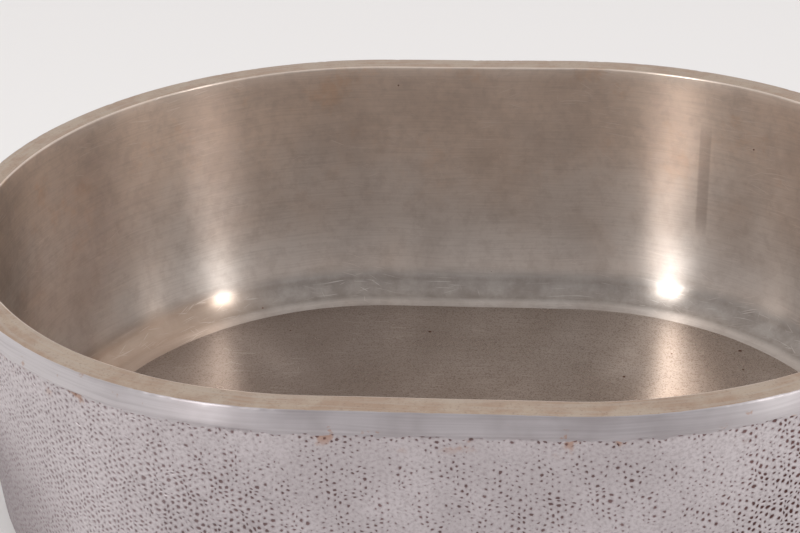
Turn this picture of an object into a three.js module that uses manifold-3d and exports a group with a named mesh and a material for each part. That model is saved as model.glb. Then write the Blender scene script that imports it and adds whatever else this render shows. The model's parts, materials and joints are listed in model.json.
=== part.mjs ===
// Oval roasting pan in thick cast aluminium, with a swinging drop handle at each end.
// Millimetres, +Z up, X along the pan. The origin is the centre of the underside.
import * as THREE from 'three';
import { mergeVertices } from 'three/addons/utils/BufferGeometryUtils.js';
import Module from 'manifold-3d';

const wasm = await Module();
wasm.setup();

// Pan: driving dimensions
const rimLength = 340;
const rimWidth = 268;
const panHeight = 104;
const floorThickness = 6;
const rimFlatWidth = 7.6;
const rimBevel = 0.6;
const bandHeight = 6.7;
const bandFlare = 1.6;
const bandStep = 0.7;
const outerDraft = THREE.MathUtils.degToRad(4.25);
const innerDraft = THREE.MathUtils.degToRad(1);
const baseEdgeRadius = 12;
const wallCurveRadius = 90;
const wallFootDraft = THREE.MathUtils.degToRad(16);
const floorFilletRadius = 16;
const floorRingWidth = 1;
const floorRingSlope = THREE.MathUtils.degToRad(10);

// Ears and handles: driving dimensions
const hingeHeight = 71;
const earSpread = 104;
const earWidth = 9;
const knuckleRadius = 7;
const padWidth = 16;
const padThickness = 3.7;
const webLength = 28;
const webRootHalfHeight = 9.8;
const webTaper = 10.5;
const stopWidth = 9;
const stopThickness = 3.6;
const rodDiameter = 6.5;
const dropLength = 42;
const pinBendRadius = 7;
const gripBendRadius = 11;
const gripGap = 2.4;

// Rivets: driving dimensions
const rivetSpacing = 30;
const rivetDiameter = 4;
const rivetHeadDiameter = 7.6;
const rivetHeadHeight = 2;
const rivetDepth = 4.6;

const clearance = 0.3;
const weldDistance = 1e-3;
const arcSteps = 36;
const cornerSteps = 7;
const wallCurveSteps = 5;
const rodSides = 10;
const rodSteps = 72;
const rivetSides = 14;
const curveSteps = 10;

// Every level of the pan is an oval of two half circles joined by straights of one length,
// so a section of the pan gives the radius of the half circles against height.
const rimRadius = rimWidth / 2;
const straightHalf = rimLength / 2 - rimRadius;
const bandFoot = new THREE.Vector2(rimRadius + bandFlare, panHeight - bandHeight);
const wallTop = new THREE.Vector2(bandFoot.x - bandStep, bandFoot.y - bandStep);
const innerTop = new THREE.Vector2(rimRadius - rimFlatWidth - rimBevel, panHeight - rimBevel);

const earCentre = earSpread / 2;
const earInner = earCentre - earWidth / 2;
const earOuter = earCentre + earWidth / 2;
const rodRadius = rodDiameter / 2;
const boreRadius = rodRadius + clearance;
const rivetHoleRadius = rivetDiameter / 2 + clearance;
const legCentre = earInner - clearance - pinBendRadius;
const hingeOut = straightHalf + outerRadius(hingeHeight - dropLength) + gripGap + rodRadius;

// Webs and stops start inside the pan's wall, and the pan's own outside trims them.
const earRoot = hingeOut - webLength;

function outerRadius(z) {
  return wallTop.x - (wallTop.y - z) * Math.tan(outerDraft);
}

// The base edge: an arc from the flat underside up to the drafted wall.
function baseEdge() {
  const turnTotal = Math.PI / 2 - outerDraft;
  const flatEdge = outerRadius(0) - baseEdgeRadius * Math.tan(turnTotal / 2);
  return Array.from({ length: cornerSteps + 1 }, (_, i) => {
    const turn = (i / cornerSteps) * turnTotal - Math.PI / 2;
    return new THREE.Vector2(
      flatEdge + baseEdgeRadius * Math.cos(turn),
      baseEdgeRadius + baseEdgeRadius * Math.sin(turn),
    );
  });
}

function outsidePoints() {
  return [...baseEdge(), wallTop, bandFoot];
}

// How far an arc that bends from one lean to another, both from the vertical, moves in and down.
function bendOffset(radius, fromLean, toLean) {
  return new THREE.Vector2(
    radius * (Math.cos(toLean) - Math.cos(fromLean)),
    radius * (Math.sin(fromLean) - Math.sin(toLean)),
  );
}

function bendPoints(start, radius, fromLean, toLean, steps) {
  return Array.from({ length: steps + 1 }, (_, i) => {
    const lean = fromLean + (i / steps) * (toLean - fromLean);
    return bendOffset(radius, fromLean, lean).add(start);
  });
}

// The inside from the rim down: a straight draft, a wall that leans in more and more towards its
// foot, a full fillet, and a shallow ring that ends at the edge of the flat floor.
function insidePoints() {
  const ringLean = Math.PI / 2 - floorRingSlope;
  const ringDrop = floorRingWidth * Math.tan(floorRingSlope);
  const wallCurve = bendOffset(wallCurveRadius, innerDraft, wallFootDraft);
  const fillet = bendOffset(floorFilletRadius, wallFootDraft, ringLean);
  const curveTop = floorThickness + ringDrop - fillet.y - wallCurve.y;
  const curveStart = new THREE.Vector2(innerTop.x - (innerTop.y - curveTop) * Math.tan(innerDraft), curveTop);
  const filletStart = curveStart.clone().add(wallCurve);
  const ringStart = filletStart.clone().add(fillet);
  return [
    innerTop,
    ...bendPoints(curveStart, wallCurveRadius, innerDraft, wallFootDraft, wallCurveSteps),
    ...bendPoints(filletStart, floorFilletRadius, wallFootDraft, ringLean, cornerSteps).slice(1),
    new THREE.Vector2(ringStart.x - floorRingWidth, floorThickness),
  ];
}

function panSection() {
  return [
    new THREE.Vector2(0, 0),
    ...outsidePoints(),
    new THREE.Vector2(rimRadius + rimBevel, panHeight - rimBevel),
    new THREE.Vector2(rimRadius, panHeight),
    new THREE.Vector2(rimRadius - rimFlatWidth, panHeight),
    ...insidePoints(),
    new THREE.Vector2(0, floorThickness),
  ];
}

// A geometry whose levels are ovals: a lathe with its columns set round the oval, not round a circle.
function ovalGeometry(section) {
  const columnsPerEnd = arcSteps + 1;
  const columns = 2 * columnsPerEnd;
  const geometry = new THREE.LatheGeometry(section, columns);
  for (let column = 0; column <= columns; column += 1) {
    const end = Math.floor((column % columns) / columnsPerEnd);
    const step = column % columnsPerEnd;
    const angle = (end + step / arcSteps - 0.5) * Math.PI;
    const centre = end === 0 ? straightHalf : -straightHalf;
    section.forEach((p, row) => {
      const index = column * section.length + row;
      const x = centre + p.x * Math.cos(angle);
      geometry.attributes.position.setXYZ(index, x, p.x * Math.sin(angle), p.y);
    });
  }
  return geometry;
}

// The pan's outside as one filled solid up to the foot of the rim band, grown outward.
function panCore(growth) {
  const grown = outsidePoints().map((p) => new THREE.Vector2(p.x + growth, p.y));
  return toSolid(ovalGeometry([new THREE.Vector2(0, 0), ...grown, new THREE.Vector2(0, bandFoot.y)]));
}

// A geometry as a manifold, with equal corners merged and collapsed triangles left out.
function toSolid(geometry) {
  const bare = geometry.clone();
  bare.deleteAttribute('normal');
  bare.deleteAttribute('uv');
  const welded = mergeVertices(bare, weldDistance);
  const corners = Array.from(welded.index.array);
  const kept = [];
  for (let i = 0; i < corners.length; i += 3) {
    const triangle = corners.slice(i, i + 3);
    if (new Set(triangle).size === 3) {
      kept.push(...triangle);
    }
  }
  return new wasm.Manifold(new wasm.Mesh({
    numProp: 3,
    vertProperties: Float32Array.from(welded.attributes.position.array),
    triVerts: Uint32Array.from(kept),
  }));
}

function toGeometry(solid) {
  const mesh = solid.getMesh();
  const geometry = new THREE.BufferGeometry();
  geometry.setAttribute('position', new THREE.BufferAttribute(mesh.vertProperties, 3));
  geometry.setIndex(new THREE.BufferAttribute(mesh.triVerts, 1));
  geometry.computeVertexNormals();
  return geometry;
}

// A frame on the outside of the +X end, at side position y and height z. Its origin is on the
// wall, its Z axis is the wall's outward normal and its Y axis points up the wall.
function wallFrame(y, z) {
  const angle = Math.asin(y / outerRadius(z));
  const toward = new THREE.Vector3(Math.cos(angle), Math.sin(angle), 0);
  const vertical = new THREE.Vector3(0, 0, 1);
  const level = toward.clone().cross(vertical);
  const normal = toward.clone().applyAxisAngle(level, -outerDraft);
  const up = vertical.clone().applyAxisAngle(level, -outerDraft);
  const along = up.clone().cross(normal);
  const origin = toward.multiplyScalar(outerRadius(z));
  return new THREE.Matrix4().makeBasis(along, up, normal).setPosition(origin.x + straightHalf, origin.y, z);
}

// The frames of the two rivets of an ear, upper first. Side is +1 or -1, the side of the pan in Y.
function rivetFrames(side) {
  return [0.5, -0.5].map((share) => wallFrame(side * earCentre, hingeHeight + share * rivetSpacing));
}

// A cylinder along the Z axis of a wall frame.
function frameCylinder(frame, radius, from, to) {
  const geometry = new THREE.CylinderGeometry(radius, radius, to - from, rivetSides);
  geometry.rotateX(Math.PI / 2);
  geometry.translate(0, 0, (from + to) / 2);
  return geometry.applyMatrix4(frame);
}

function panGeometry() {
  let body = toSolid(ovalGeometry(panSection()));
  for (const frame of [...rivetFrames(1), ...rivetFrames(-1)]) {
    const hole = frameCylinder(frame, rivetHoleRadius, -rivetDepth - clearance, padThickness);
    body = body.subtract(toSolid(hole));
    body = body.subtract(toSolid(hole.rotateZ(Math.PI)));
  }
  return toGeometry(body);
}

// A plate with its outline in the XZ plane, from one side position to another.
function uprightPlate(outline, fromY, toY) {
  const geometry = new THREE.ExtrudeGeometry(outline, {
    depth: Math.abs(toY - fromY),
    bevelEnabled: false,
    curveSegments: curveSteps,
  });
  geometry.rotateX(Math.PI / 2);
  geometry.translate(0, Math.max(fromY, toY), 0);
  return toSolid(geometry);
}

// The pad of an ear: a long rounded plate that follows the curve of the wall.
function earPad(side) {
  const outline = new THREE.Shape();
  outline.absarc(0, rivetSpacing / 2, padWidth / 2, 0, Math.PI);
  outline.absarc(0, -rivetSpacing / 2, padWidth / 2, Math.PI, 2 * Math.PI);
  const reach = 2 * padThickness;
  const block = new THREE.ExtrudeGeometry(outline, {
    depth: 2 * reach,
    bevelEnabled: false,
    curveSegments: curveSteps,
  });
  block.translate(0, 0, -reach);
  block.applyMatrix4(wallFrame(side * earCentre, hingeHeight));
  return toSolid(block).intersect(panCore(clearance + padThickness));
}

// The web of an ear, which stands out from the pad and ends in a knuckle about the hinge axis.
function earWeb(side) {
  const low = hingeHeight - webRootHalfHeight;
  const high = hingeHeight + webRootHalfHeight;
  const outline = new THREE.Shape();
  outline.moveTo(earRoot, low);
  outline.lineTo(hingeOut - webTaper, low);
  outline.lineTo(hingeOut, hingeHeight - knuckleRadius);
  outline.absarc(hingeOut, hingeHeight, knuckleRadius, -Math.PI / 2, Math.PI / 2);
  outline.lineTo(hingeOut - webTaper, high);
  outline.lineTo(earRoot, high);
  return uprightPlate(outline, side * earInner, side * earOuter);
}

// The stop of an ear: a shelf inboard of the knuckle that the handle's leg meets when it is level.
function earStop(side) {
  const underside = hingeHeight + boreRadius;
  const tip = hingeOut + knuckleRadius;
  const outline = new THREE.Shape();
  outline.moveTo(earRoot, underside);
  outline.lineTo(tip, underside);
  outline.lineTo(tip, underside + stopThickness / 2);
  outline.lineTo(tip - stopThickness / 2, underside + stopThickness);
  outline.lineTo(earRoot, underside + stopThickness);
  return uprightPlate(outline, side * (earInner - stopWidth), side * earCentre);
}

function earGeometry(side) {
  const bore = new THREE.CylinderGeometry(boreRadius, boreRadius, earSpread / 2, 2 * rodSides);
  bore.translate(hingeOut, side * earOuter, hingeHeight);
  let ear = earPad(side).add(earWeb(side)).add(earStop(side));
  ear = ear.subtract(panCore(clearance)).subtract(toSolid(bore));
  for (const frame of rivetFrames(side)) {
    ear = ear.subtract(toSolid(frameCylinder(frame, rivetHoleRadius, -rivetDepth, 2 * padThickness)));
  }
  return toGeometry(ear);
}

// A round-headed rivet along its local Z axis, with the surface of the wall at local Z = 0.
function rivetGeometry() {
  const seat = padThickness + 2 * clearance;
  const section = [
    new THREE.Vector2(0, -rivetDepth),
    new THREE.Vector2(rivetDiameter / 2, -rivetDepth),
    new THREE.Vector2(rivetDiameter / 2, seat),
  ];
  const domeSteps = 4;
  for (let i = 0; i < domeSteps; i += 1) {
    const lift = (i / domeSteps) * (Math.PI / 2);
    const radius = (rivetHeadDiameter / 2) * Math.cos(lift);
    section.push(new THREE.Vector2(radius, seat + rivetHeadHeight * Math.sin(lift)));
  }
  section.push(new THREE.Vector2(0, seat + rivetHeadHeight));
  return new THREE.LatheGeometry(section, rivetSides).rotateX(Math.PI / 2);
}

// The centre line of a handle that hangs from the hinge axis through the local origin.
function handlePath() {
  const kappa = 0.5523;
  const corners = [
    { y: legCentre, z: 0, radius: pinBendRadius },
    { y: legCentre, z: -dropLength, radius: gripBendRadius },
    { y: -legCentre, z: -dropLength, radius: gripBendRadius },
    { y: -legCentre, z: 0, radius: pinBendRadius },
  ];
  const pinEnd = earOuter + rodRadius;
  const stations = [{ y: pinEnd, z: 0 }, ...corners, { y: -pinEnd, z: 0 }].map(
    ({ y, z }) => new THREE.Vector3(0, y, z),
  );
  const path = new THREE.CurvePath();
  let start = stations[0];
  corners.forEach(({ radius }, i) => {
    const corner = stations[i + 1];
    const before = stations[i].clone().sub(corner).normalize();
    const after = stations[i + 2].clone().sub(corner).normalize();
    const bendStart = corner.clone().addScaledVector(before, radius);
    const bendEnd = corner.clone().addScaledVector(after, radius);
    path.add(new THREE.LineCurve3(start, bendStart));
    path.add(new THREE.CubicBezierCurve3(
      bendStart,
      corner.clone().addScaledVector(before, radius * (1 - kappa)),
      corner.clone().addScaledVector(after, radius * (1 - kappa)),
      bendEnd,
    ));
    start = bendEnd;
  });
  path.add(new THREE.LineCurve3(start, stations[stations.length - 1]));
  return path;
}

function handleGeometry() {
  const outline = new THREE.Shape();
  outline.absarc(0, 0, rodRadius, 0, 2 * Math.PI);
  return new THREE.ExtrudeGeometry(outline, {
    steps: rodSteps,
    curveSegments: rodSides / 2,
    extrudePath: handlePath(),
  });
}

const finishes = {
  castAluminium: { color: 0xb4a8aa, roughness: 0.5, metalness: 0.9 },
  earAluminium: { color: 0xaea6a6, roughness: 0.45, metalness: 0.9 },
  rivetAluminium: { color: 0xb9b4b2, roughness: 0.35, metalness: 1 },
  steelRod: { color: 0x9c9794, roughness: 0.3, metalness: 1 },
};

function makePiece(name, geometry, finish) {
  const piece = new THREE.Mesh(geometry, new THREE.MeshStandardMaterial(finish));
  piece.name = name;
  return piece;
}

// One end of the pan: two ears, their rivets and the handle, built for the +X end.
function makeEnd(end) {
  const group = new THREE.Group();
  for (const side of [1, -1]) {
    const place = (side === 1) === (end === 'right') ? 'rear' : 'front';
    group.add(makePiece(`ear_${end}_${place}`, earGeometry(side), finishes.earAluminium));
    rivetFrames(side).forEach((frame, i) => {
      const level = i === 0 ? 'upper' : 'lower';
      const rivet = makePiece(`rivet_${end}_${place}_${level}`, rivetGeometry(), finishes.rivetAluminium);
      rivet.applyMatrix4(frame);
      group.add(rivet);
    });
  }
  const handle = makePiece(`handle_${end}`, handleGeometry(), finishes.steelRod);
  handle.position.set(hingeOut, 0, hingeHeight);
  group.add(handle);
  return group;
}

const pan = new THREE.Group();
pan.add(makePiece('pan_body', panGeometry(), finishes.castAluminium));
pan.add(makeEnd('right'));
const leftEnd = makeEnd('left');
leftEnd.rotation.z = Math.PI;
pan.add(leftEnd);

export default pan;
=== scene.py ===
"""Oval roasting pan in cast aluminium: pitted outside, ground rim band, brushed inside, drop handles."""
from collections import namedtuple
import json
import math

import bpy
import numpy as np
from mathutils import Matrix, Vector


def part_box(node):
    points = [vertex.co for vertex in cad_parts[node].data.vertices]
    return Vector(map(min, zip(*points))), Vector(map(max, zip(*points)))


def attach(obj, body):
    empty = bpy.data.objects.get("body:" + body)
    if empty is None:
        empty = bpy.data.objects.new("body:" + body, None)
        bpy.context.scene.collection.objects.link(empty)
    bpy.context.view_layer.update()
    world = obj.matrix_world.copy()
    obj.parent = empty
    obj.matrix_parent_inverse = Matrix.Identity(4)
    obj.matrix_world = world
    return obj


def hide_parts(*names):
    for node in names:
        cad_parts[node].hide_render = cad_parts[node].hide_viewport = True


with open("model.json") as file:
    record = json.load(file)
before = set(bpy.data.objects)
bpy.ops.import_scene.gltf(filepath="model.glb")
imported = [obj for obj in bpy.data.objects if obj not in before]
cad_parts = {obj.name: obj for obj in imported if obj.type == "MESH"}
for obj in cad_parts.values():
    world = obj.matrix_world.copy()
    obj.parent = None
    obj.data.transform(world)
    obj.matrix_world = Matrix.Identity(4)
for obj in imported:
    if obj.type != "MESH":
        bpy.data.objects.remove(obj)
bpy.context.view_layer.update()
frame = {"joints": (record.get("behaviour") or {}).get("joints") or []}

MM = 0.001

# The pan's own sizes. Its length, width and height come from the CAD body's box.
PAN_LOW, PAN_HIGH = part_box("pan_body")
BAND_RADIUS = PAN_HIGH.y
STRAIGHT_HALF = PAN_HIGH.x - PAN_HIGH.y
PAN_HEIGHT = PAN_HIGH.z
PAN_LENGTH = PAN_HIGH.x - PAN_LOW.x

BAND_FLARE = 1.6 * MM
BAND_HEIGHT = 6.7 * MM
BAND_STEP = 0.7 * MM
RIM_BEVEL = 0.6 * MM
RIM_FLAT = 7.6 * MM
FLOOR_THICKNESS = 6 * MM
BASE_EDGE_RADIUS = 12 * MM
WALL_CURVE_RADIUS = 90 * MM
FLOOR_FILLET_RADIUS = 16 * MM
FLOOR_RING_WIDTH = 1 * MM
FLOOR_RING_SLOPE = math.radians(10)
OUTER_DRAFT = math.radians(4.25)
INNER_DRAFT = math.radians(1)
WALL_FOOT_DRAFT = math.radians(16)
FILLET_TOP = FLOOR_THICKNESS + FLOOR_FILLET_RADIUS
RIM_RADIUS = BAND_RADIUS - BAND_FLARE

# Fittings that the boxes of the frame don't give.
LEG_CENTRE = 40.2 * MM
PIN_BEND = 7 * MM
GRIP_BEND = 11 * MM
RIVET_RADIUS = 2 * MM
RIVET_DEPTH = 4.6 * MM
RIVET_SEAT = 4.3 * MM
RIVET_HEAD_RADIUS = 3.8 * MM
RIVET_HEAD_HEIGHT = 2 * MM

# How high a rod's domed end is and how small its tip, as shares of the rod's radius,
# and how much of a quarter turn a rivet's dome goes through before its worn top.
ROD_END_RISE = 0.35
ROD_TIP_SHARE = 0.02
RIVET_DOME_SHARE = 0.9

# How finely the round parts of the fittings are cut, and how the ears are softened.
BEND_STEPS = 12
ROD_SIDES = 28
RIVET_SIDES = 32
RIVET_DOME_STEPS = 8
EAR_VOXEL = 0.6 * MM
EAR_SMOOTHING_ROUNDS = 4

# The cast surface: pits sit on every third point of a lattice of triangles. Where they are sparse,
# they have only a share of the depth that they have where they crowd.
LATTICE_STEP = 1.24 * MM
LATTICE_ROW = LATTICE_STEP * math.sin(math.radians(60))
PIT_DEPTH = 0.3 * MM
SPARSE_PIT_SHARE = 0.45
FINE_PER_COARSE = 3

# A strip where the pits are weaker: how far it is below the band, and how wide it is.
CALM_DEPTH = 6 * MM
CALM_SPREAD = 4 * MM

# Zones of the pan's surface, in the order of its material slots.
PITTED, BAND, RIM, WALL, FLOOR, UNDERSIDE = range(6)
Row = namedtuple("Row", "radius height zone fine")

# How far the surface of each zone wanders in and out, how long its waves are,
# and how deep the knocks along the rim's outer edge are.
WAVINESS = {PITTED: 0, BAND: 0.05 * MM, RIM: 0.05 * MM, WALL: 0.07 * MM, FLOOR: 0.1 * MM, UNDERSIDE: 0}
WAVE_LENGTH = 38 * MM
NICK_DEPTH = 0.18 * MM

# A low ridge like a tool mark, a little below the top of the inside fillet: its height and its row.
TOOL_MARK = 0.1 * MM
TOOL_MARK_ROW = 4

# Where the floor's rows lie, as shares of the way out from its middle.
FLOOR_SHARES = (0.99, 0.9, 0.75, 0.6, 0.4, 0.2, 0.1, 0.05, 0.02)

# A dark stripe down the inside near the right end: its way round the oval, and its place up the wall.
DARK_STRIPE_WAY = BAND_RADIUS * math.radians(90 + 65)
DARK_STRIPE_WIDTH = 4 * MM
DARK_STRIPE_HEIGHT = 62 * MM
DARK_STRIPE_LENGTH = 30 * MM

# The lamps, and the camera: its heading, pitch and roll in degrees, and its place in lengths of the pan.
LAMP_DISTANCE = 1.6
LAMP_SIZE = 0.12
LAMP_COLOUR = (1, 0.985, 0.96)
CAMERA_TURNS = (-6.13, 27.2, -1.78)
CAMERA_OFFSET = (0.118, -1.665, 0.790)
CAMERA_LENS = 84.5
CAMERA_SENSOR = 36

rng = np.random.default_rng(7)


# ---------------------------------------------------------------------------------------------
# Noise and the oval outline
# ---------------------------------------------------------------------------------------------

def smooth_noise(points, wavelength, seed):
    """Smooth noise from -1 to 1 at an array of points: a sum of plane waves in seeded directions."""
    waves = 14
    draw = np.random.default_rng(seed)
    directions = draw.normal(size=(waves, 3))
    directions /= np.linalg.norm(directions, axis=1)[:, None]
    lengths = wavelength * draw.uniform(0.7, 1.6, waves)
    phases = draw.uniform(0, 2 * math.pi, waves)
    angles = points @ (directions / lengths[:, None]).T * 2 * math.pi + phases
    return np.clip(np.sin(angles).sum(axis=1) / math.sqrt(waves), -1, 1)


def smoothstep(low, high, value):
    share = np.clip((value - low) / (high - low), 0, 1)
    return share * share * (3 - 2 * share)


def oval_frame(share):
    """Centre x and outward direction (cos, sin) of the oval at a share of the way round it."""
    arc = math.pi * BAND_RADIUS
    straight = 2 * STRAIGHT_HALF
    way = np.mod(share, 1) * 2 * (arc + straight)
    on_far_half = way >= arc + straight
    way = np.where(on_far_half, way - arc - straight, way)
    turn = np.minimum(way / arc, 1) * math.pi - math.pi / 2
    along = np.clip(way - arc, 0, straight)
    centre = STRAIGHT_HALF - along
    sign = np.where(on_far_half, -1, 1)
    return sign * centre, sign * np.cos(turn), sign * np.sin(turn)


def oval_length():
    return 2 * math.pi * BAND_RADIUS + 4 * STRAIGHT_HALF


FINE_COLUMNS = FINE_PER_COARSE * round(oval_length() / LATTICE_STEP / FINE_PER_COARSE)
COARSE_COLUMNS = FINE_COLUMNS // FINE_PER_COARSE


# ---------------------------------------------------------------------------------------------
# The pan's section: rows of (radius of the end half circles, height)
# ---------------------------------------------------------------------------------------------

def outer_radius(z):
    top = PAN_HEIGHT - BAND_HEIGHT - BAND_STEP
    return BAND_RADIUS - BAND_STEP - (top - z) * math.tan(OUTER_DRAFT)


def line(start, end, steps):
    """Points from start to end, without the start."""
    start = np.array(start)
    whole = np.array(end) - start
    return [tuple(start + whole * (i + 1) / steps) for i in range(steps)]


def arc(centre, radius, start, end, steps):
    """Points on an arc between two angles in radians, without the start."""
    angles = [start + (end - start) * (i + 1) / steps for i in range(steps)]
    return [(centre[0] + radius * math.cos(a), centre[1] + radius * math.sin(a)) for a in angles]


def bend(start, radius, from_lean, to_lean, steps):
    """Points on an arc inside the pan that leans in more and more, from one lean to another."""
    leans = [from_lean + (to_lean - from_lean) * (i + 1) / steps for i in range(steps)]
    return [
        (
            start[0] - radius * (math.cos(from_lean) - math.cos(lean)),
            start[1] - radius * (math.sin(lean) - math.sin(from_lean)),
        )
        for lean in leans
    ]


def inside_points():
    """The inside from the rim's bevel down: the wall, its full fillet and the ring round the floor."""
    ring_lean = math.pi / 2 - FLOOR_RING_SLOPE
    foot_drop = (
        WALL_CURVE_RADIUS * (math.sin(WALL_FOOT_DRAFT) - math.sin(INNER_DRAFT))
        + FLOOR_FILLET_RADIUS * (math.sin(ring_lean) - math.sin(WALL_FOOT_DRAFT))
        + FLOOR_RING_WIDTH * math.tan(FLOOR_RING_SLOPE)
    )
    top = (RIM_RADIUS - RIM_FLAT - RIM_BEVEL, PAN_HEIGHT - RIM_BEVEL)
    curve_z = FLOOR_THICKNESS + foot_drop
    curve_start = (top[0] - (top[1] - curve_z) * math.tan(INNER_DRAFT), curve_z)
    wall = line(top, curve_start, 14)
    wall += bend(curve_start, WALL_CURVE_RADIUS, INNER_DRAFT, WALL_FOOT_DRAFT, 16)
    fillet = bend(wall[-1], FLOOR_FILLET_RADIUS, WALL_FOOT_DRAFT, ring_lean, 20)
    fillet[TOOL_MARK_ROW] = (fillet[TOOL_MARK_ROW][0] - TOOL_MARK, fillet[TOOL_MARK_ROW][1])
    ring = line(fillet[-1], (fillet[-1][0] - FLOOR_RING_WIDTH, FLOOR_THICKNESS), 4)
    return wall + fillet + ring


def pan_section():
    """Rows of the pan from the underside round to the floor."""
    rows = []

    def add(points, zone, fine):
        rows.extend(Row(r, z, zone, fine) for r, z in points)

    corner_turn = math.pi / 2 - OUTER_DRAFT
    base_flat = outer_radius(0) - BASE_EDGE_RADIUS * math.tan(corner_turn / 2)
    add([(base_flat * share, 0) for share in (0.1, 0.4, 0.7, 0.95)], UNDERSIDE, False)
    add([(base_flat, 0)], UNDERSIDE, True)
    corner_rows = round(BASE_EDGE_RADIUS * corner_turn / LATTICE_ROW)
    corner = arc((base_flat, BASE_EDGE_RADIUS), BASE_EDGE_RADIUS, -math.pi / 2, -OUTER_DRAFT, corner_rows)
    add(corner, PITTED, True)
    wall_top = (BAND_RADIUS - BAND_STEP, PAN_HEIGHT - BAND_HEIGHT - BAND_STEP)
    wall_rows = round((wall_top[1] - rows[-1].height) / LATTICE_ROW)
    wall_rows += (corner_rows + wall_rows) % 2
    add(line(rows[-1][:2], wall_top, wall_rows), PITTED, True)

    foot_rise = 2.2 * BAND_STEP
    for share, out in ((0.3, 0.2), (0.55, 0.55), (0.8, 0.85), (1, 0.97)):
        add([(wall_top[0] + out * BAND_STEP, wall_top[1] + share * foot_rise)], BAND, True)
    add(line(rows[-1][:2], (RIM_RADIUS + RIM_BEVEL, PAN_HEIGHT - RIM_BEVEL), 4), BAND, True)
    add(arc((RIM_RADIUS, PAN_HEIGHT - RIM_BEVEL), RIM_BEVEL, 0, math.pi / 2, 4), BAND, True)
    add([(RIM_RADIUS - 0.3 * RIM_FLAT, PAN_HEIGHT)], RIM, True)
    inner_edge = RIM_RADIUS - RIM_FLAT
    add([(RIM_RADIUS - 0.6 * RIM_FLAT, PAN_HEIGHT), (inner_edge, PAN_HEIGHT)], RIM, False)
    bevel = arc((inner_edge, PAN_HEIGHT - RIM_BEVEL), RIM_BEVEL, math.pi / 2, math.pi - INNER_DRAFT, 3)
    add(bevel, WALL, False)

    add(inside_points(), WALL, False)
    floor_edge = rows[-1].radius
    add([(floor_edge * share, FLOOR_THICKNESS) for share in FLOOR_SHARES], FLOOR, False)
    return rows


# ---------------------------------------------------------------------------------------------
# The pan's mesh
# ---------------------------------------------------------------------------------------------

def section_frames(rows):
    """Unit tangent and outward normal of the section at each row, and the way along it."""
    points = np.array([(row.radius, row.height) for row in rows])
    ahead = np.vstack([points[1:], 2 * points[-1:] - points[-2:-1]])
    behind = np.vstack([2 * points[:1] - points[1:2], points[:-1]])
    tangent = ahead - behind
    tangent /= np.linalg.norm(tangent, axis=1)[:, None]
    normal = np.stack([tangent[:, 1], -tangent[:, 0]], axis=1)
    steps = np.linalg.norm(np.diff(points, axis=0), axis=1)
    return tangent, normal, np.concatenate([[0], np.cumsum(steps)])


def lattice_counts(rows):
    """The number of each row within the pit lattice, counted from 1, and 0 for a row outside it."""
    counts = []
    for row in rows:
        inside = row.zone == PITTED
        counts.append((counts[-1] + 1 if counts else 1) if inside else 0)
    return counts


def crowding(points):
    """1 where the pits are deep and crowded, along the left half and at the right end, and 0 elsewhere."""
    along = points[:, 0] / PAN_HIGH.x
    return np.maximum(1 - smoothstep(-0.5, -0.05, along), smoothstep(0.42, 0.64, along))


def pit_field(points):
    """How strong the pits are at points: patchy, stronger towards the ends, weak under the band."""
    along = points[:, 0] / PAN_HIGH.x
    patches = smooth_noise(points, 60 * MM, 11)
    clusters = smooth_noise(points, 8 * MM, 12)
    below_band = PAN_HEIGHT - BAND_HEIGHT - BAND_STEP - points[:, 2]
    calm = np.exp(-((below_band - CALM_DEPTH) / CALM_SPREAD) ** 2) * (1 - along ** 2)
    edge_row = np.exp(-(below_band / LATTICE_STEP) ** 2)
    crowded = crowding(points) * np.where(along > 0, 0.32, 0.14)
    field = 0.86 + crowded + 0.1 * patches + 0.17 * clusters - 0.2 * calm + 0.3 * edge_row
    return np.clip(field, 0.1, 1.15)


def lattice_pits(points, number):
    """Pit strengths in one row of the lattice, where one point in three is a pit."""
    index = np.arange(len(points))
    is_pit = (index - number // 2 - number) % 3 == 0
    strength = pit_field(points) * rng.uniform(0.75, 1.15, len(points))
    return np.where(is_pit, strength, 0)


def lattice_shift(points, pit, around, brush):
    """How far the lattice's points stray along the surface, so that no two cells are alike."""
    loose = np.where(pit > 0, 0.4, 0.22) * LATTICE_STEP
    stray = rng.uniform(-1, 1, (2, len(points))) * loose
    drift = [0.5 * LATTICE_STEP * smooth_noise(points, 6 * MM, seed) for seed in (21, 22)]
    return around * (stray[0] + drift[0])[:, None] + brush * (stray[1] + drift[1])[:, None]


def edge_nicks(points):
    """Depth of the knocks along the rim's outer edge: short, few and uneven."""
    knocks = smooth_noise(points, 6 * MM, 31) + 0.8 * smooth_noise(points, 3 * MM, 32)
    return NICK_DEPTH * np.clip(knocks - 0.6, 0, 0.6)


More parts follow.
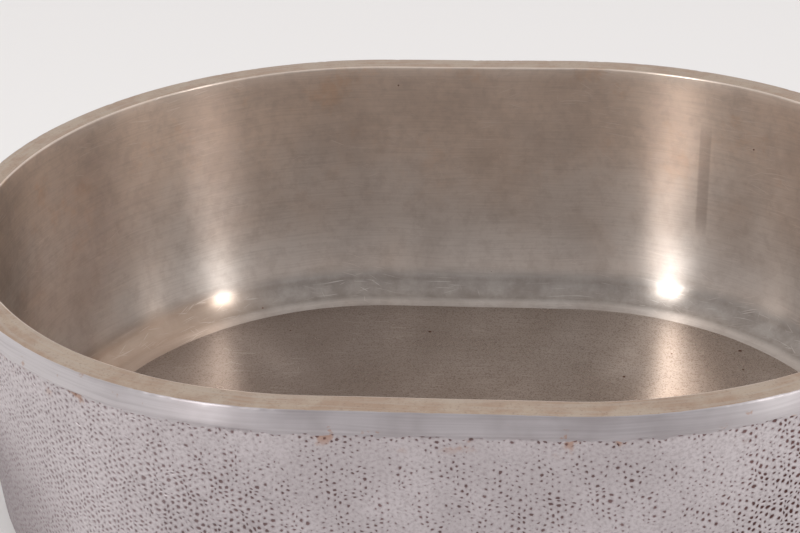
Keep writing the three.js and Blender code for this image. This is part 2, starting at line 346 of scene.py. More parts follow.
def build_pan():
    rows = pan_section()
    tangent, normal, way = section_frames(rows)
    numbers = lattice_counts(rows)
    on_rim_edge = [abs(row.height - PAN_HEIGHT) < RIM_BEVEL and row.zone == BAND for row in rows]
    vertices, pits, brushes, unrolled = [], [], [], []
    for k, row in enumerate(rows):
        columns = FINE_COLUMNS if row.fine else COARSE_COLUMNS
        share = (np.arange(columns) + 0.5 * (numbers[k] % 2)) / columns
        centre, cosine, sine = oval_frame(share)
        level = np.zeros(columns)
        points = np.stack([centre + row.radius * cosine, row.radius * sine, level + row.height], axis=1)
        outward = np.stack([normal[k, 0] * cosine, normal[k, 0] * sine, level + normal[k, 1]], axis=1)
        brush = np.stack([tangent[k, 0] * cosine, tangent[k, 0] * sine, level + tangent[k, 1]], axis=1)
        around = np.stack([-sine, cosine, level], axis=1)
        pit = np.zeros(columns)
        sink = WAVINESS[row.zone] * smooth_noise(points, WAVE_LENGTH, 41)
        if row.zone == PITTED:
            pit = lattice_pits(points, numbers[k])
            points += lattice_shift(points, pit, around, brush)
            depth_share = SPARSE_PIT_SHARE + (1 - SPARSE_PIT_SHARE) * crowding(points)
            sink = PIT_DEPTH * smoothstep(0.4, 1.05, pit) * depth_share
        if on_rim_edge[k]:
            sink += edge_nicks(points)
        vertices.append(points - outward * sink[:, None])
        pits.append(pit)
        brushes.append(brush)
        unrolled.append(np.stack([share * oval_length(), level + way[k], level], axis=1))
    counts = [len(points) for points in vertices]
    starts = np.concatenate([[0], np.cumsum(counts)[:-1]]).tolist()
    faces, zones = pan_faces(rows, starts, numbers)
    mesh = bpy.data.meshes.new("pan_cast")
    mesh.from_pydata(np.concatenate(vertices).tolist(), [], faces)
    mesh.polygons.foreach_set("material_index", zones)
    mesh.polygons.foreach_set("use_smooth", [True] * len(faces))
    set_attribute(mesh, "pit", "FLOAT", np.concatenate(pits))
    set_attribute(mesh, "brush", "FLOAT_VECTOR", np.concatenate(brushes))
    set_attribute(mesh, "unrolled", "FLOAT_VECTOR", np.concatenate(unrolled))
    return mesh


def set_attribute(mesh, name, kind, values):
    attribute = mesh.attributes.new(name, kind, "POINT")
    key = "vector" if kind == "FLOAT_VECTOR" else "value"
    attribute.data.foreach_set(key, np.asarray(values, np.float32).ravel())


def pan_faces(rows, starts, numbers):
    """Faces between one row and the next, with the first and last rows filled."""
    faces = [list(range(starts[0] + COARSE_COLUMNS - 1, starts[0] - 1, -1))]
    zones = [UNDERSIDE]
    for k in range(len(rows) - 1):
        before, after = rows[k], rows[k + 1]
        low, high = starts[k], starts[k + 1]
        columns = FINE_COLUMNS if after.fine else COARSE_COLUMNS
        if after.fine and not before.fine:
            strip = widened(low, high)
        elif before.fine and not after.fine:
            strip = [face[::-1] for face in widened(high, low)]
        elif numbers[k] % 2 != numbers[k + 1] % 2:
            strip = lattice_strip(low, high, columns, numbers[k + 1] % 2 == 1)
        else:
            strip = quad_strip(low, high, columns)
        faces.extend(strip)
        zones.extend([after.zone] * len(strip))
    faces.append(list(range(starts[-1], starts[-1] + COARSE_COLUMNS)))
    zones.append(FLOOR)
    return faces, zones


def quad_strip(low, high, columns):
    return [(low + i, low + (i + 1) % columns, high + (i + 1) % columns, high + i) for i in range(columns)]


def lattice_strip(low, high, columns, shifted):
    """Triangles between two rows of the lattice, one of which is half a step further round."""
    strip = []
    for i in range(columns):
        j = (i + 1) % columns
        if shifted:
            strip.append((low + i, low + j, high + i))
            strip.append((low + j, high + j, high + i))
        else:
            strip.append((low + i, high + j, high + i))
            strip.append((low + i, low + j, high + j))
    return strip


def widened(coarse, fine):
    """Faces from a coarse row up to a fine row with three columns to each of its own."""
    strip = []
    for i in range(COARSE_COLUMNS):
        j = (i + 1) % COARSE_COLUMNS
        run = [fine + (FINE_PER_COARSE * i + n) % FINE_COLUMNS for n in range(FINE_PER_COARSE, -1, -1)]
        strip.append((coarse + i, coarse + j, *run))
    return strip


# ---------------------------------------------------------------------------------------------
# Materials
# ---------------------------------------------------------------------------------------------

def node(tree, kind, inputs=None, **settings):
    """A node with its settings and inputs. An input given as a socket is linked to it."""
    new = tree.nodes.new(kind)
    for key, value in settings.items():
        setattr(new, key, value)
    for key, value in (inputs or {}).items():
        if isinstance(value, bpy.types.NodeSocket):
            tree.links.new(value, new.inputs[key])
        else:
            new.inputs[key].default_value = value
    return new


def maths(tree, operation, *values):
    return node(tree, "ShaderNodeMath", dict(enumerate(values)), operation=operation).outputs[0]


def attribute(tree, name, output="Fac"):
    return node(tree, "ShaderNodeAttribute", attribute_name=name).outputs[output]


def noise(tree, vector, scale, detail=3, roughness=0.5):
    inputs = {"Vector": vector, "Scale": scale, "Detail": detail, "Roughness": roughness}
    return node(tree, "ShaderNodeTexNoise", inputs).outputs["Fac"]


def span(tree, value, low, high, to_low=0.0, to_high=1.0):
    """Value smoothly remapped from low..high to to_low..to_high, and held at the ends."""
    inputs = {"Value": value, 1: low, 2: high, 3: to_low, 4: to_high}
    return node(tree, "ShaderNodeMapRange", inputs, interpolation_type="SMOOTHSTEP").outputs["Result"]


def mix(tree, share, a, b):
    inputs = {0: share, 6: a, 7: b}
    return node(tree, "ShaderNodeMix", inputs, data_type="RGBA").outputs[2]


def times(tree, *values):
    product = values[0]
    for value in values[1:]:
        product = maths(tree, "MULTIPLY", product, value)
    return product


def plus(tree, *values):
    total = values[0]
    for value in values[1:]:
        total = maths(tree, "ADD", total, value)
    return total


def bump(tree, height, strength, distance):
    inputs = {"Height": height, "Strength": strength, "Distance": distance}
    return node(tree, "ShaderNodeBump", inputs).outputs["Normal"]


def rgb(red, green, blue):
    return (red, green, blue, 1)


def parts_of(tree, vector):
    """The x, y and z of a vector."""
    return node(tree, "ShaderNodeSeparateXYZ", {0: vector}).outputs


def along_of(tree, place):
    return parts_of(tree, place)[0]


def height_of(tree, place):
    return parts_of(tree, place)[2]


def surface(name, build):
    """A material whose Principled inputs are what build(tree, object coordinates) returns."""
    material = bpy.data.materials.new(name)
    material.use_nodes = True
    tree = material.node_tree
    tree.nodes.clear()
    place = node(tree, "ShaderNodeTexCoord").outputs["Object"]
    shader = node(tree, "ShaderNodeBsdfPrincipled", build(tree, place))
    output = node(tree, "ShaderNodeOutputMaterial")
    tree.links.new(shader.outputs[0], output.inputs["Surface"])
    return material


def brush_lines(tree, place, along, across):
    """Fine lines that run round the pan: noise that changes slowly along them and fast across them."""
    x, y, _ = parts_of(tree, place)
    down_section = parts_of(tree, attribute(tree, "unrolled", "Vector"))[1]
    wander = times(tree, noise(tree, place, 25, 2), 4 * MM)
    vector = node(tree, "ShaderNodeCombineXYZ", {
        0: times(tree, x, along),
        1: times(tree, y, along),
        2: times(tree, plus(tree, down_section, wander), across),
    }).outputs[0]
    return noise(tree, vector, 1, 2, 0.6)


def scratches(tree, flat, angle, length, gap, rarity):
    """Thin bent scratches over flat coordinates, at an angle. Rarity nearer 1 leaves fewer of them."""
    sway = node(tree, "ShaderNodeTexNoise", {"Vector": flat, "Scale": 14, "Detail": 1}).outputs["Color"]
    inputs = {0: sway, 1: (0.02, 0.02, 0), 2: flat}
    bent = node(tree, "ShaderNodeVectorMath", inputs, operation="MULTIPLY_ADD")
    turned = node(tree, "ShaderNodeVectorRotate", {
        "Vector": bent.outputs[0], "Angle": math.radians(angle),
    }, rotation_type="Z_AXIS").outputs[0]
    inputs = {0: turned, 1: (1 / length, 1 / gap, 0)}
    stretched = node(tree, "ShaderNodeVectorMath", inputs, operation="MULTIPLY").outputs[0]
    return span(tree, noise(tree, stretched, 1, 1, 0.4), rarity, rarity + 0.05)


def all_scratches(tree, flat):
    """Scratches of four kinds, gathered in patches."""
    marks = scratches(tree, flat, 2, 18 * MM, 0.7 * MM, 0.66)
    for angle, length, gap, rarity in (
        (24, 12 * MM, 0.7 * MM, 0.7), (-19, 13 * MM, 0.7 * MM, 0.7), (78, 11 * MM, 0.8 * MM, 0.74),
    ):
        marks = maths(tree, "MAXIMUM", marks, scratches(tree, flat, angle, length, gap, rarity))
    return times(tree, marks, span(tree, noise(tree, flat, 28, 2), 0.4, 0.65, 0.15, 1))


def window(tree, value, middle, width, soft):
    """1 where value lies within a width about a middle, fading to 0 over a soft margin."""
    distance = maths(tree, "ABSOLUTE", maths(tree, "SUBTRACT", value, middle))
    return span(tree, distance, width / 2, width / 2 + soft, 1, 0)


def specks(tree, place, gap, size, share):
    """Small dots, one at most in each cell of the given gap, in a share of the cells."""
    cells = node(tree, "ShaderNodeTexVoronoi", {"Vector": place, "Scale": 1 / gap, "Randomness": 1.0})
    lot = node(tree, "ShaderNodeSeparateColor", {0: cells.outputs["Color"]})
    radius = times(tree, lot.outputs[1], size / gap)
    dot = maths(tree, "LESS_THAN", cells.outputs["Distance"], radius)
    return times(tree, dot, maths(tree, "LESS_THAN", lot.outputs[0], share))


def painted_end_sheen(tree, place):
    """1 near both ends of the pan, where a painted highlight brightens its outside, and 0 elsewhere."""
    along = maths(tree, "ABSOLUTE", along_of(tree, place))
    bright = span(tree, along, 0.15 * PAN_LENGTH, 0.36 * PAN_LENGTH)
    return times(tree, bright, span(tree, along, 0.4 * PAN_LENGTH, 0.48 * PAN_LENGTH, 1, 0))


def pitted_cast(tree, place):
    pit = attribute(tree, "pit")
    wobble = times(tree, maths(tree, "SUBTRACT", noise(tree, place, 1500, 2), 0.5), 0.2)
    depth = plus(tree, pit, wobble)
    hole = span(tree, depth, 0.5, 0.8)
    grain = noise(tree, place, 1100, 3, 0.6)
    cloud = noise(tree, place, 30, 3, 0.55)
    skin = mix(tree, span(tree, cloud, 0.35, 0.65), rgb(0.487, 0.446, 0.459), rgb(0.58, 0.536, 0.552))
    along = along_of(tree, place)
    # Painted highlight: the outside is lighter near both ends, more so at the right.
    painted_sheen_strength = span(tree, along, -0.3 * PAN_LENGTH, 0.3 * PAN_LENGTH, 0.5, 0.65)
    skin = mix(tree, times(tree, painted_end_sheen(tree, place), painted_sheen_strength), skin, rgb(0.74, 0.69, 0.705))
    low = span(tree, height_of(tree, place), 0.35 * PAN_HEIGHT, 0.8 * PAN_HEIGHT, 0.6, 0)
    # Painted shade that stands in for dark surroundings, which the metal would mirror at the left end.
    left_shade = times(tree, low, span(tree, along, -0.43 * PAN_LENGTH, -0.3 * PAN_LENGTH, 1, 0))
    skin = mix(tree, left_shade, skin, rgb(0.19, 0.155, 0.16))
    # Painted shade: the dimples round the pits are darker than the ridges between them.
    skin = mix(tree, span(tree, pit, 0.2, 0.7, 0, 0.45), skin, rgb(0.32, 0.265, 0.275))
    skin = mix(tree, span(tree, grain, 0.4, 0.7, 0, 0.4), skin, rgb(0.3, 0.255, 0.265))
    below_band = PAN_HEIGHT - BAND_HEIGHT - BAND_STEP
    near_band = span(tree, height_of(tree, place), below_band - 7 * MM, below_band)
    rusty = times(tree, near_band, span(tree, noise(tree, place, 110, 4, 0.6), 0.57, 0.66))
    skin = mix(tree, times(tree, rusty, 0.75), skin, rgb(0.4, 0.235, 0.165))
    old_grime = mix(tree, span(tree, cloud, 0.4, 0.6), rgb(0.085, 0.026, 0.02), rgb(0.19, 0.1, 0.095))
    filled = plus(
        tree,
        span(tree, along, -0.4 * PAN_LENGTH, -0.12 * PAN_LENGTH, 0.22, 0.75),
        span(tree, along, 0.12 * PAN_LENGTH, 0.32 * PAN_LENGTH, 0, 0.2),
    )
    colour = mix(tree, times(tree, hole, filled), skin, old_grime)
    left = span(tree, along, -0.25 * PAN_LENGTH, -0.02 * PAN_LENGTH, 1, 0)
    crowded = maths(tree, "MAXIMUM", left, span(tree, along, 0.21 * PAN_LENGTH, 0.32 * PAN_LENGTH))
    pit_relief = span(tree, crowded, 0, 1, -0.3, -1.3)
    relief = plus(tree, times(tree, grain, 0.4), times(tree, hole, -0.4), times(tree, pit, pit_relief))
    return {
        "Base Color": colour,
        "Metallic": 0.8,
        "Roughness": plus(tree, span(tree, cloud, 0.3, 0.7, 0.48, 0.56), times(tree, hole, 0.2)),
        "Normal": bump(tree, relief, 0.9, 0.27 * MM),
    }


def ground_band(tree, place):
    coarse = brush_lines(tree, place, 22, 1300)
    fine = brush_lines(tree, place, 60, 5000)
    stain = noise(tree, place, 60, 3)
    colour = mix(tree, span(tree, stain, 0.4, 0.7), rgb(0.51, 0.476, 0.494), rgb(0.42, 0.384, 0.397))
    # Painted highlight: the band is lighter near both ends.
    colour = mix(tree, times(tree, painted_end_sheen(tree, place), 0.8), colour, rgb(0.68, 0.645, 0.655))
    colour = mix(tree, span(tree, coarse, 0.35, 0.7, 0, 0.3), colour, rgb(0.35, 0.312, 0.322))
    dirt = span(tree, noise(tree, place, 200, 4, 0.65), 0.64, 0.7)
    colour = mix(tree, times(tree, dirt, 0.5), colour, rgb(0.42, 0.22, 0.13))
    return {
        "Base Color": colour,
        "Metallic": 0.9,
        "Roughness": span(tree, coarse, 0.3, 0.7, 0.39, 0.46),
        "Anisotropic": 0.9,
        "Tangent": attribute(tree, "brush", "Vector"),
        "Normal": bump(tree, plus(tree, coarse, times(tree, fine, 0.5)), 0.3, 0.05 * MM),
    }


def oxidised_rim(tree, place):
    coarse = brush_lines(tree, place, 30, 900)
    fine = brush_lines(tree, place, 90, 4500)
    mottle = noise(tree, place, 130, 4, 0.6)
    grain = noise(tree, place, 1400, 2, 0.5)
    colour = mix(tree, span(tree, mottle, 0.35, 0.65), rgb(0.38, 0.27, 0.2), rgb(0.46, 0.37, 0.295))
    colour = mix(tree, span(tree, coarse, 0.4, 0.7, 0, 0.4), colour, rgb(0.47, 0.41, 0.36))
    colour = mix(tree, span(tree, grain, 0.55, 0.75, 0, 0.35), colour, rgb(0.2, 0.14, 0.11))
    return {
        "Base Color": colour,
        "Metallic": 0.75,
        "Roughness": span(tree, mottle, 0.3, 0.7, 0.42, 0.55),
        "Normal": bump(tree, plus(tree, coarse, fine, grain), 0.3, 0.06 * MM),
    }


def inside_stains_and_shade(tree, place):
    """The colour of the inside: grey aluminium with tan oxide that gathers towards the rim, and painted
    shade in the fillet.
    """
    height = height_of(tree, place)
    high = span(tree, height, 0.25 * PAN_HEIGHT, PAN_HEIGHT)
    blotch = noise(tree, place, 24, 5, 0.62)
    oxide = plus(tree, times(tree, high, 0.55), times(tree, blotch, 0.9))
    colour = mix(tree, span(tree, oxide, 0.4, 1.0), rgb(0.765, 0.72, 0.685), rgb(0.76, 0.645, 0.56))
    bloom = span(tree, noise(tree, place, 45, 5, 0.7), 0.52, 0.7)
    colour = mix(tree, times(tree, bloom, high, 0.5), colour, rgb(0.73, 0.5, 0.34))
    dull = span(tree, noise(tree, place, 33, 6, 0.68), 0.42, 0.66)
    colour = mix(tree, times(tree, dull, 0.28), colour, rgb(0.41, 0.35, 0.315))
    mottle = span(tree, noise(tree, place, 190, 5, 0.7), 0.45, 0.65)
    colour = mix(tree, times(tree, mottle, 0.2), colour, rgb(0.42, 0.36, 0.33))
    # Painted shade in the fillet, standing in for the darker surroundings that it mirrors. It thins out at
    # the floor's edge.
    below_top = span(tree, height, FLOOR_THICKNESS + 0.4 * FLOOR_FILLET_RADIUS, FILLET_TOP - 3 * MM, 1, 0)
    above_floor = span(tree, height, FLOOR_THICKNESS + 0.4 * MM, FLOOR_THICKNESS + 1.8 * MM, 0.15, 1)
    fillet_shade = span(tree, noise(tree, place, 90, 5, 0.7), 0.3, 0.7, 0.7, 0.93)
    colour = mix(tree, times(tree, below_top, above_floor, fillet_shade), colour, rgb(0.25, 0.217, 0.194))
    along = along_of(tree, place)
    # Browner low in the fillet towards the left end.
    brown_at_left = times(tree, below_top, span(tree, along, -0.36 * PAN_LENGTH, -0.22 * PAN_LENGTH, 0.65, 0))
    colour = mix(tree, brown_at_left, colour, rgb(0.5, 0.36, 0.27))
    round_way = along_of(tree, attribute(tree, "unrolled", "Vector"))
    # A darker stripe down the wall near the right end.
    dark_stripe = times(
        tree,
        window(tree, round_way, DARK_STRIPE_WAY, DARK_STRIPE_WIDTH, 1 * MM),
        window(tree, height, DARK_STRIPE_HEIGHT, DARK_STRIPE_LENGTH, 12 * MM),
    )
    return mix(tree, times(tree, dark_stripe, 0.35), colour, rgb(0.3, 0.235, 0.21))


def brushed_inside(tree, place):
    coarse = brush_lines(tree, place, 40, 1300)
    fine = brush_lines(tree, place, 110, 4000)
    marks = all_scratches(tree, attribute(tree, "unrolled", "Vector"))
    colour = inside_stains_and_shade(tree, place)
    colour = mix(tree, span(tree, coarse, 0.4, 0.75, 0, 0.14), colour, rgb(0.3, 0.25, 0.22))
    colour = mix(tree, times(tree, marks, 0.38), colour, rgb(0.9, 0.83, 0.79))
    colour = mix(tree, specks(tree, place, 13 * MM, 0.55 * MM, 0.5), colour, rgb(0.2, 0.1, 0.07))
    height = height_of(tree, place)
    scoured = span(tree, height, FILLET_TOP - 5 * MM, FILLET_TOP + 5 * MM, 0.82, 1)
    lines = plus(tree, times(tree, coarse, 0.6), times(tree, fine, 0.6), times(tree, marks, -0.8))
    return {
        "Base Color": colour,
        "Metallic": 1.0,
        "Roughness": times(tree, span(tree, plus(tree, coarse, fine), 0.7, 1.3, 0.335, 0.36), scoured),
        "Anisotropic": span(tree, height, FILLET_TOP, FILLET_TOP + 35 * MM, 0.97, 0.77),
        "Tangent": attribute(tree, "brush", "Vector"),
        "Normal": bump(tree, lines, 0.2, 0.06 * MM),
    }


def out_from_middle(tree, place):
    """How far a place on the floor is from the line between the centres of the two half circles."""
    x, across, _ = parts_of(tree, place)
    along = maths(tree, "SUBTRACT", maths(tree, "ABSOLUTE", x), STRAIGHT_HALF)
    along = maths(tree, "MAXIMUM", along, 0)
    return maths(tree, "SQRT", plus(tree, times(tree, along, along), times(tree, across, across)))


def brushed_floor(tree, place):
    coarse = brush_lines(tree, place, 30, 900)
    grain = noise(tree, place, 1900, 3, 0.6)
    blotch = noise(tree, place, 28, 5, 0.6)
    marks = all_scratches(tree, place)
    colour = mix(tree, span(tree, blotch, 0.25, 0.75), rgb(0.41, 0.343, 0.297), rgb(0.51, 0.44, 0.395))
    along = along_of(tree, place)
    # Painted reflection: the floor is darker brown towards the left, standing in for the dark left wall
    # that it mirrors.
    brown_at_left = span(tree, along, -0.22 * PAN_LENGTH, 0.1 * PAN_LENGTH, 0.5, 0)
    colour = mix(tree, brown_at_left, colour, rgb(0.27, 0.215, 0.19))
    colour = mix(tree, span(tree, coarse, 0.4, 0.75, 0, 0.2), colour, rgb(0.3, 0.25, 0.22))
    colour = mix(tree, span(tree, grain, 0.48, 0.66, 0, 0.7), colour, rgb(0.2, 0.15, 0.12))
    colour = mix(tree, times(tree, marks, 0.3), colour, rgb(0.75, 0.68, 0.62))
    colour = mix(tree, specks(tree, place, 11 * MM, 0.8 * MM, 0.5), colour, rgb(0.12, 0.05, 0.03))
    return {
        "Base Color": colour,
        "Metallic": 1.0,
        "Roughness": span(tree, blotch, 0.3, 0.7, 0.27, 0.29),
        "Anisotropic": span(tree, out_from_middle(tree, place), 5 * MM, 0.5 * BAND_RADIUS, 0.2, 1),
        "Tangent": attribute(tree, "brush", "Vector"),
        "Normal": bump(tree, plus(tree, times(tree, coarse, 0.15), grain), 0.14, 0.05 * MM),
    }


def scorched_underside(tree, place):
    cloud = noise(tree, place, 35, 4)
    marks = all_scratches(tree, place)
    grain = noise(tree, place, 900, 3, 0.6)
    colour = mix(tree, span(tree, cloud, 0.35, 0.65), rgb(0.3, 0.265, 0.255), rgb(0.42, 0.38, 0.37))
    colour = mix(tree, times(tree, marks, 0.5), colour, rgb(0.6, 0.56, 0.54))
    return {
        "Base Color": colour,
        "Metallic": 0.8,
        "Roughness": span(tree, grain, 0.3, 0.7, 0.42, 0.55),
        "Normal": bump(tree, grain, 0.3, 0.08 * MM),
    }


def cast_ear(tree, place):
    grain = noise(tree, place, 900, 3, 0.6)
    cloud = noise(tree, place, 90, 3)
    edge = node(tree, "ShaderNodeNewGeometry").outputs["Pointiness"]
    colour = mix(tree, span(tree, cloud, 0.35, 0.65), rgb(0.4, 0.365, 0.372), rgb(0.48, 0.443, 0.45))
    colour = mix(tree, span(tree, edge, 0.5, 0.42, 0, 0.7), colour, rgb(0.12, 0.08, 0.07))
    colour = mix(tree, span(tree, edge, 0.52, 0.6, 0, 0.7), colour, rgb(0.66, 0.63, 0.62))
    return {
        "Base Color": colour,
        "Metallic": 0.75,
        "Roughness": span(tree, grain, 0.3, 0.7, 0.36, 0.5),
        "Normal": bump(tree, grain, 0.35, 0.12 * MM),
    }


def worn_rivet(tree, place):
    dents = noise(tree, place, 500, 2)
    colour = mix(tree, span(tree, dents, 0.4, 0.65), rgb(0.58, 0.545, 0.54), rgb(0.4, 0.365, 0.355))
    return {
        "Base Color": colour,
        "Metallic": 0.95,
        "Roughness": span(tree, dents, 0.3, 0.7, 0.28, 0.42),
        "Normal": bump(tree, dents, 0.4, 0.2 * MM),
    }


def plated_rod(tree, place):
    wear = noise(tree, place, 220, 4, 0.6)
    rust = span(tree, noise(tree, place, 120, 5, 0.7), 0.6, 0.7)
    colour = mix(tree, span(tree, wear, 0.4, 0.65), rgb(0.5, 0.473, 0.476), rgb(0.4, 0.372, 0.372))
    colour = mix(tree, times(tree, rust, 0.4), colour, rgb(0.24, 0.125, 0.075))
    return {
        "Base Color": colour,
        "Metallic": 1.0,
        "Roughness": plus(tree, span(tree, wear, 0.3, 0.7, 0.26, 0.4), times(tree, rust, 0.3)),
        "Normal": bump(tree, wear, 0.3, 0.08 * MM),
    }


def plain_floor(tree, place):
    return {"Base Color": rgb(0.85, 0.837, 0.832), "Roughness": 0.7}


# ---------------------------------------------------------------------------------------------
# Pieces
# ---------------------------------------------------------------------------------------------

def add_object(name, data):
    new = bpy.data.objects.new(name, data)
    bpy.context.scene.collection.objects.link(new)
    return new


def install(piece, finish, body, node_name):
    piece.data.materials.append(finish)
    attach(piece, body)
    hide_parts(node_name)


def make_pan():
    pan = add_object("pan_cast", build_pan())
    finishes = (pitted_cast, ground_band, oxidised_rim, brushed_inside, brushed_floor, scorched_underside)
    for finish in finishes:
        pan.data.materials.append(surface(finish.__name__, finish))
    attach(pan, "pan")
    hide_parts("pan_body")


Ring = namedtuple("Ring", "centre side other radius")


def mesh_of_rings(name, rings, sides):
    """A closed mesh through rings of points, each in the plane of its side and other directions."""
    vertices, faces = [], []
    for ring in rings:
        for i in range(sides):
            turn = 2 * math.pi * i / sides
            spoke = ring.side * math.cos(turn) + ring.other * math.sin(turn)
            vertices.append(ring.centre + spoke * ring.radius)
    for k in range(len(rings) - 1):
        low, high = k * sides, (k + 1) * sides
        for i in range(sides):
            j = (i + 1) % sides
            faces.append((low + i, low + j, high + j, high + i))
    faces.append(list(range(sides))[::-1])
    faces.append(list(range(len(vertices) - sides, len(vertices))))
    mesh = bpy.data.meshes.new(name)
    mesh.from_pydata(vertices, [], faces)
    mesh.polygons.foreach_set("use_smooth", [True] * len(faces))
    return mesh


def rod_cap(point, outward, radius):
    """Centres and radii of the rings that close a rod with a low dome, from its tip inwards."""
    turns = [math.radians(angle) for angle in (90, 60, 30)]
    rise = radius * ROD_END_RISE
    return [
        (point + outward * rise * math.sin(turn), radius * max(math.cos(turn), ROD_TIP_SHARE))
        for turn in turns
    ]


def swept_rod(name, path, radius):
    """A round rod along a path in a plane of constant x, with domed ends."""
    forwards = []
    for k in range(len(path)):
        ahead = path[min(k + 1, len(path) - 1)]
        behind = path[max(k - 1, 0)]
        forwards.append((ahead - behind).normalized())
    side = Vector((1, 0, 0))

    def ring(centre, forward, ring_radius):
        return Ring(centre, side, forward.cross(side), ring_radius)

    first, last = forwards[0], forwards[-1]
    rings = [ring(centre, first, r) for centre, r in rod_cap(path[0], -first, radius)]
    rings += [ring(point, forward, radius) for point, forward in zip(path, forwards)]
    rings += [ring(centre, last, r) for centre, r in reversed(rod_cap(path[-1], last, radius))]
    return mesh_of_rings(name, rings, ROD_SIDES)


def handle_path(pivot, low, high, radius):
    """The middle of a handle's rod: along one pin, down a leg, along the grip, and back up."""
    pin_end = high.y - 0.3 * radius
    grip_z = low.z + radius
    corners = [(LEG_CENTRE, pivot.z, PIN_BEND), (LEG_CENTRE, grip_z, GRIP_BEND)]
    corners += [(-y, z, bend_radius) for y, z, bend_radius in reversed(corners)]
    stations = [(pin_end, pivot.z)] + [corner[:2] for corner in corners] + [(-pin_end, pivot.z)]
    points = [Vector((pivot.x, *stations[0]))]
    for k, (y, z, bend_radius) in enumerate(corners):
        corner = Vector((pivot.x, y, z))
        before = (Vector((pivot.x, *stations[k])) - corner).normalized()
        after = (Vector((pivot.x, *stations[k + 2])) - corner).normalized()
        centre = corner + (before + after) * bend_radius
        for step in range(BEND_STEPS + 1):
            turn = step / BEND_STEPS * math.pi / 2
            spoke = after * math.cos(turn) + before * math.sin(turn)
            points.append(centre - spoke * bend_radius)
    points.append(Vector((pivot.x, *stations[-1])))
    return points


def make_handle(end, finish):
    joint = next(j for j in frame["joints"] if j["name"] == f"{end}_handle_swing")
    low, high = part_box(f"handle_{end}")
    radius = (high.x - low.x) / 2
    path = handle_path(Vector(joint["pos_m"]), low, high, radius)
    name = f"{end}_drop_handle"
    handle = add_object(name, swept_rod(name, path, radius))
    install(handle, finish, f"{end}_handle", f"handle_{end}")


def softened_copy(name, source, voxel, rounds):
    """A new object with a node's shape, remeshed finely and smoothed so that its edges are soft."""
    new = add_object(name, source.data.copy())
    new.data.materials.clear()
    remesh = new.modifiers.new("fine", "REMESH")
    remesh.mode = "VOXEL"
    remesh.voxel_size = voxel
    remesh.use_smooth_shade = True
    smooth = new.modifiers.new("soft", "SMOOTH")
    smooth.iterations = rounds
    smooth.factor = 0.5
    finished = new.evaluated_get(bpy.context.evaluated_depsgraph_get())
    new.data = bpy.data.meshes.new_from_object(finished)
    new.modifiers.clear()
    return new


def make_ear(end, place, finish):
    node_name = f"ear_{end}_{place}"
    ear = softened_copy(f"{end}_{place}_ear", bpy.data.objects[node_name], EAR_VOXEL, EAR_SMOOTHING_ROUNDS)
    install(ear, finish, "pan", node_name)


def rivet_section():
    """A rivet as (radius, distance out from the wall): its shank and a domed head with a worn top."""
    section = [(RIVET_RADIUS, -RIVET_DEPTH), (RIVET_RADIUS, RIVET_SEAT), (RIVET_HEAD_RADIUS, RIVET_SEAT)]
    dome_turn = math.pi / 2 * RIVET_DOME_SHARE
    for step in range(1, RIVET_DOME_STEPS + 1):
        turn = step / RIVET_DOME_STEPS * dome_turn
        height = RIVET_HEAD_HEIGHT * math.sin(turn) / math.sin(dome_turn)
        section.append((RIVET_HEAD_RADIUS * math.cos(turn), RIVET_SEAT + height))
    return section


def rivet_seat(node_name):
    """Where a rivet's axis meets the pan's outside, and the direction of the axis, outwards."""
    low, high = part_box(node_name)
    middle = (low + high) / 2
    end_sign = 1 if middle.x > 0 else -1
    from_centre = Vector((middle.x - end_sign * STRAIGHT_HALF, middle.y))
    toward = Vector((*from_centre.normalized(), 0))
    axis = toward * math.cos(OUTER_DRAFT) - Vector((0, 0, math.sin(OUTER_DRAFT)))
    out = (from_centre.length - outer_radius(middle.z)) * math.cos(OUTER_DRAFT)
    return middle - axis * out, axis


def make_rivet(end, place, level, finish):
    node_name = f"rivet_{end}_{place}_{level}"
    seat, axis = rivet_seat(node_name)
    up = Vector((0, 0, 1))
    side = up.cross(axis).normalized()
    other = axis.cross(side)
    rings = [Ring(seat + axis * distance, side, other, radius) for radius, distance in rivet_section()]
    rivet = add_object(f"{end}_{place}_{level}_rivet", mesh_of_rings(node_name, rings, RIVET_SIDES))
    install(rivet, finish, "pan", node_name)


def make_fittings():
    ear_finish = surface("cast_ear", cast_ear)
    rivet_finish = surface("worn_rivet", worn_rivet)
    rod_finish = surface("plated_rod", plated_rod)
    for end in ("left", "right"):
        make_handle(end, rod_finish)
        for place in ("front", "rear"):
            make_ear(end, place, ear_finish)
            for level in ("upper", "lower"):
                make_rivet(end, place, level, rivet_finish)


# ---------------------------------------------------------------------------------------------
# Stage
# ---------------------------------------------------------------------------------------------

def make_floor():
    reach = 30 * PAN_LENGTH
    corners = [(-reach, -reach, 0), (reach, -reach, 0), (reach, reach, 0), (-reach, reach, 0)]
    mesh = bpy.data.meshes.new("floor")
    mesh.from_pydata(corners, [], [(0, 1, 2, 3)])
    floor = add_object("floor", mesh)
    floor.data.materials.append(surface("plain_floor", plain_floor))


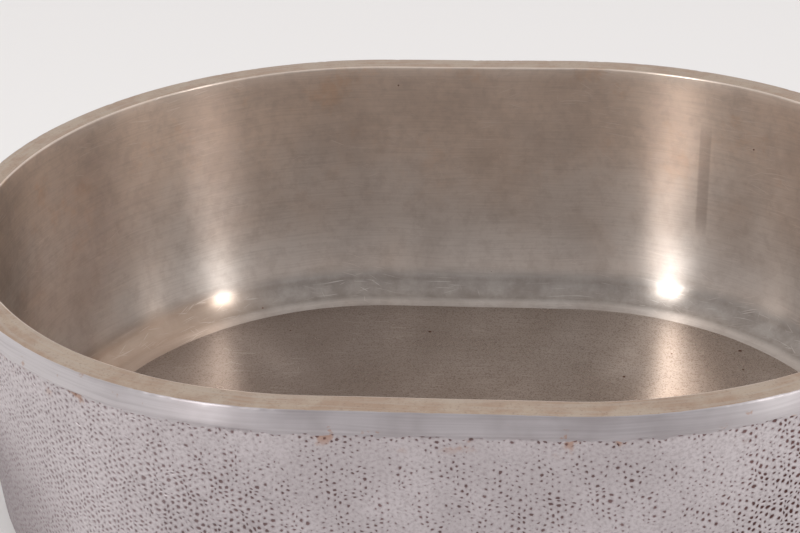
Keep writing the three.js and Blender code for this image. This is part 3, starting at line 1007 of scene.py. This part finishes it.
def make_light(name, heading, height, power):
    """A small square lamp that faces the pan's rim. Heading is in degrees from the front, towards +X."""
    turn = math.radians(heading)
    lift = math.radians(height)
    aim = Vector((0, 0, PAN_HEIGHT))
    away = Vector((math.sin(turn) * math.cos(lift), -math.cos(turn) * math.cos(lift), math.sin(lift)))
    data = bpy.data.lights.new(name, "AREA")
    data.size = LAMP_SIZE
    data.energy = power
    data.color = LAMP_COLOUR
    lamp = add_object(name, data)
    lamp.location = aim + away * LAMP_DISTANCE
    lamp.rotation_euler = away.to_track_quat("Z", "Y").to_euler()
    lamp.visible_camera = False


def make_world():
    """Soft light from all round, dimmer from the front."""
    world = bpy.data.worlds.new("studio")
    bpy.context.scene.world = world
    world.use_nodes = True
    tree = world.node_tree
    direction = node(tree, "ShaderNodeTexCoord").outputs["Generated"]
    behind = span(tree, parts_of(tree, direction)[1], -1.0, 0.2)
    soft = mix(tree, behind, rgb(0.52, 0.511, 0.517), rgb(0.9, 0.884, 0.88))
    seen = node(tree, "ShaderNodeLightPath").outputs["Is Camera Ray"]
    colour = mix(tree, seen, soft, rgb(0.815, 0.802, 0.798))
    back = tree.nodes["Background"]
    tree.links.new(colour, back.inputs["Color"])
    back.inputs["Strength"].default_value = 1.0


def make_camera():
    """The camera, at an offset from the middle of the rim. It looks down and a little to the left."""
    heading, pitch, roll = (math.radians(angle) for angle in CAMERA_TURNS)
    offset = Vector(CAMERA_OFFSET) * PAN_LENGTH
    level = math.cos(pitch)
    forward = Vector((math.sin(heading) * level, math.cos(heading) * level, -math.sin(pitch)))
    right = Vector((math.cos(heading), -math.sin(heading), 0))
    up = right.cross(forward)
    right, up = (
        right * math.cos(roll) + up * math.sin(roll),
        up * math.cos(roll) - right * math.sin(roll),
    )
    data = bpy.data.cameras.new("camera")
    data.lens = CAMERA_LENS
    data.sensor_width = CAMERA_SENSOR
    camera = add_object("camera", data)
    turned = Matrix((right, up, -forward)).transposed().to_4x4()
    camera.matrix_world = Matrix.Translation(Vector((0, 0, PAN_HEIGHT)) + offset) @ turned
    bpy.context.scene.camera = camera


make_pan()
make_fittings()
make_floor()
make_light("lamp_right", heading=62, height=36, power=4)
make_light("lamp_left", heading=-39, height=38, power=7.2)
make_world()
make_camera()
bpy.context.scene.view_settings.view_transform = "Standard"
